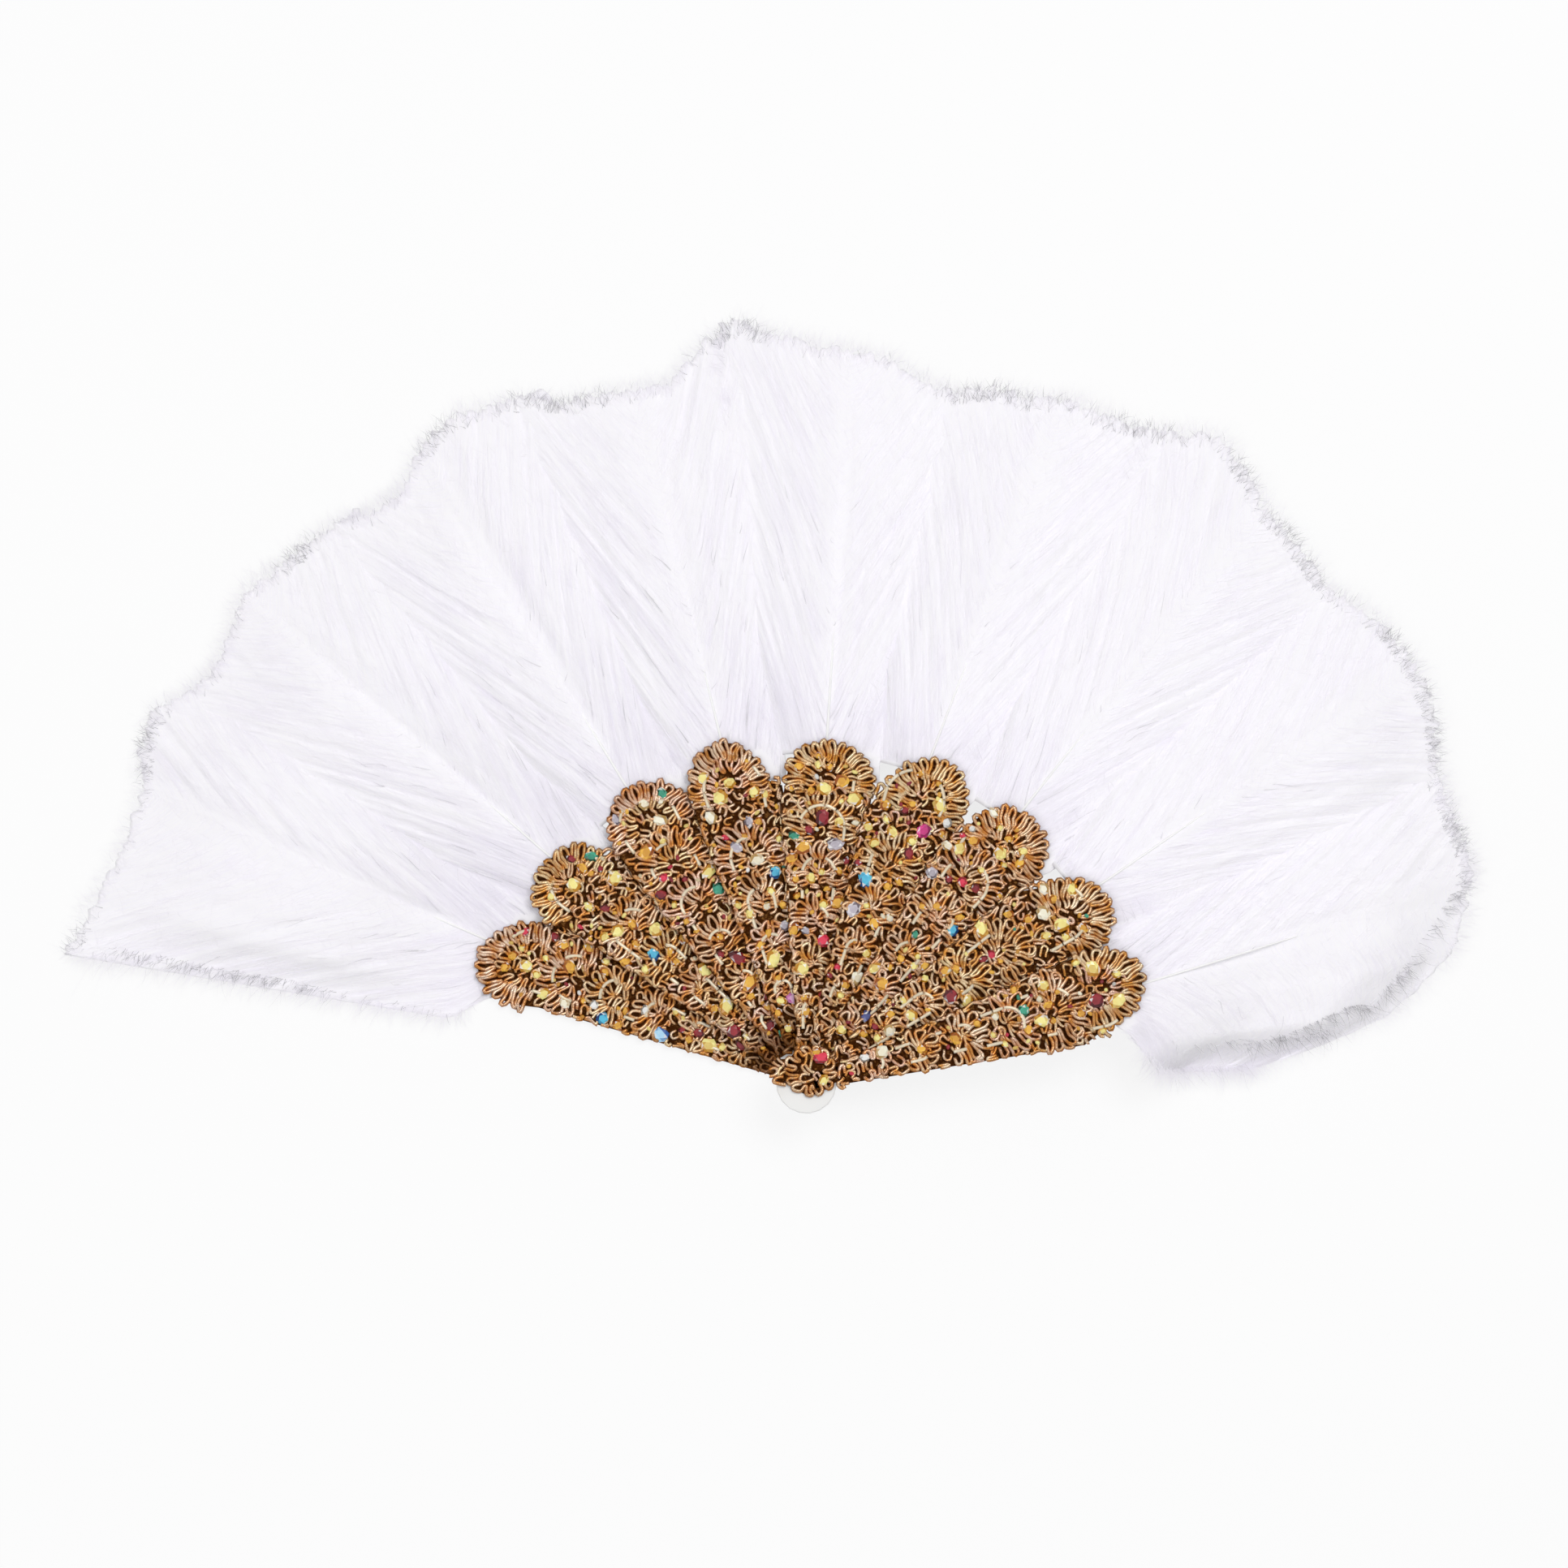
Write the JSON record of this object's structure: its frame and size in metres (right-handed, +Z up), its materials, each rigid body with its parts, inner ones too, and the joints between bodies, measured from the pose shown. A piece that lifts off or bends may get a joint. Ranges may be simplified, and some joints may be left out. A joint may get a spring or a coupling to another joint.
{
  "type": "folding feather fan",
  "caption": "Folding hand fan with white marabou plumes and gold bullion beadwork panels on plastic sticks that close about one rivet.",
  "frame": {"origin": "on the rivet axis, at the flat back face of the rivet head, which lies in the resting plane", "axes": "+Z up out of the fan's front, along the rivet; +Y along the middle stick of the open fan; +X to the right seen from the front"},
  "size_m": [0.4905, 0.2725, 0.0302],
  "materials": {
    "white_plastic": "satin",
    "gold_bullion": "satin",
    "quill": "satin",
    "feather": "matte",
    "ribbon": "satin",
    "rivet_metal": "polished"
  },
  "bodies": {
    "leaf_1": {"back_guard": "white_plastic", "bead_panel_1": "gold_bullion", "quill_1": "quill", "plume_1": "feather", "ribbon_1": "ribbon", "rivet_pin": "rivet_metal", "rivet_cap": "rivet_metal"},
    "leaf_2": {"stick_2": "white_plastic", "bead_panel_2": "gold_bullion", "quill_2": "quill", "plume_2": "feather", "ribbon_2": "ribbon"},
    "leaf_3": {"stick_3": "white_plastic", "bead_panel_3": "gold_bullion", "quill_3": "quill", "plume_3": "feather", "ribbon_3": "ribbon"},
    "leaf_4": {"stick_4": "white_plastic", "bead_panel_4": "gold_bullion", "quill_4": "quill", "plume_4": "feather", "ribbon_4": "ribbon"},
    "leaf_5": {"stick_5": "white_plastic", "bead_panel_5": "gold_bullion", "quill_5": "quill", "plume_5": "feather", "ribbon_5": "ribbon"},
    "leaf_6": {"stick_6": "white_plastic", "bead_panel_6": "gold_bullion", "quill_6": "quill", "plume_6": "feather", "ribbon_6": "ribbon"},
    "leaf_7": {"stick_7": "white_plastic", "bead_panel_7": "gold_bullion", "quill_7": "quill", "plume_7": "feather", "ribbon_7": "ribbon"},
    "leaf_8": {"stick_8": "white_plastic", "bead_panel_8": "gold_bullion", "quill_8": "quill", "plume_8": "feather", "ribbon_8": "ribbon"},
    "leaf_9": {"front_guard": "white_plastic", "bead_panel_9": "gold_bullion", "quill_9": "quill", "plume_9": "feather", "ribbon_9": "ribbon"}
  },
  "joints": [
    {"name": "fan_fold", "type": "hinge", "parent": "leaf_1", "child": "leaf_9", "pos_m": [0, 0, 0], "axis": [0, 0, 1], "range_deg": [0, 140], "deforming": ["plume_1", "plume_9"]},
    {"name": "leaf_2_turn", "type": "hinge", "parent": "leaf_1", "child": "leaf_2", "pos_m": [0, 0, 0], "axis": [0, 0, 1], "range_deg": [0, 17.5], "deforming": ["plume_2"]},
    {"name": "leaf_3_turn", "type": "hinge", "parent": "leaf_1", "child": "leaf_3", "pos_m": [0, 0, 0], "axis": [0, 0, 1], "range_deg": [0, 35], "deforming": ["plume_3"]},
    {"name": "leaf_4_turn", "type": "hinge", "parent": "leaf_1", "child": "leaf_4", "pos_m": [0, 0, 0], "axis": [0, 0, 1], "range_deg": [0, 52.5], "deforming": ["plume_4"]},
    {"name": "leaf_5_turn", "type": "hinge", "parent": "leaf_1", "child": "leaf_5", "pos_m": [0, 0, 0], "axis": [0, 0, 1], "range_deg": [0, 70], "deforming": ["plume_5"]},
    {"name": "leaf_6_turn", "type": "hinge", "parent": "leaf_1", "child": "leaf_6", "pos_m": [0, 0, 0], "axis": [0, 0, 1], "range_deg": [0, 87.5], "deforming": ["plume_6"]},
    {"name": "leaf_7_turn", "type": "hinge", "parent": "leaf_1", "child": "leaf_7", "pos_m": [0, 0, 0], "axis": [0, 0, 1], "range_deg": [0, 105], "deforming": ["plume_7"]},
    {"name": "leaf_8_turn", "type": "hinge", "parent": "leaf_1", "child": "leaf_8", "pos_m": [0, 0, 0], "axis": [0, 0, 1], "range_deg": [0, 122.5], "deforming": ["plume_8"]}
  ],
  "couplings": [
    {"joint": "leaf_2_turn", "follows": "fan_fold", "ratio": 0.125},
    {"joint": "leaf_3_turn", "follows": "fan_fold", "ratio": 0.25},
    {"joint": "leaf_4_turn", "follows": "fan_fold", "ratio": 0.375},
    {"joint": "leaf_5_turn", "follows": "fan_fold", "ratio": 0.5},
    {"joint": "leaf_6_turn", "follows": "fan_fold", "ratio": 0.625},
    {"joint": "leaf_7_turn", "follows": "fan_fold", "ratio": 0.75},
    {"joint": "leaf_8_turn", "follows": "fan_fold", "ratio": 0.875}
  ]
}
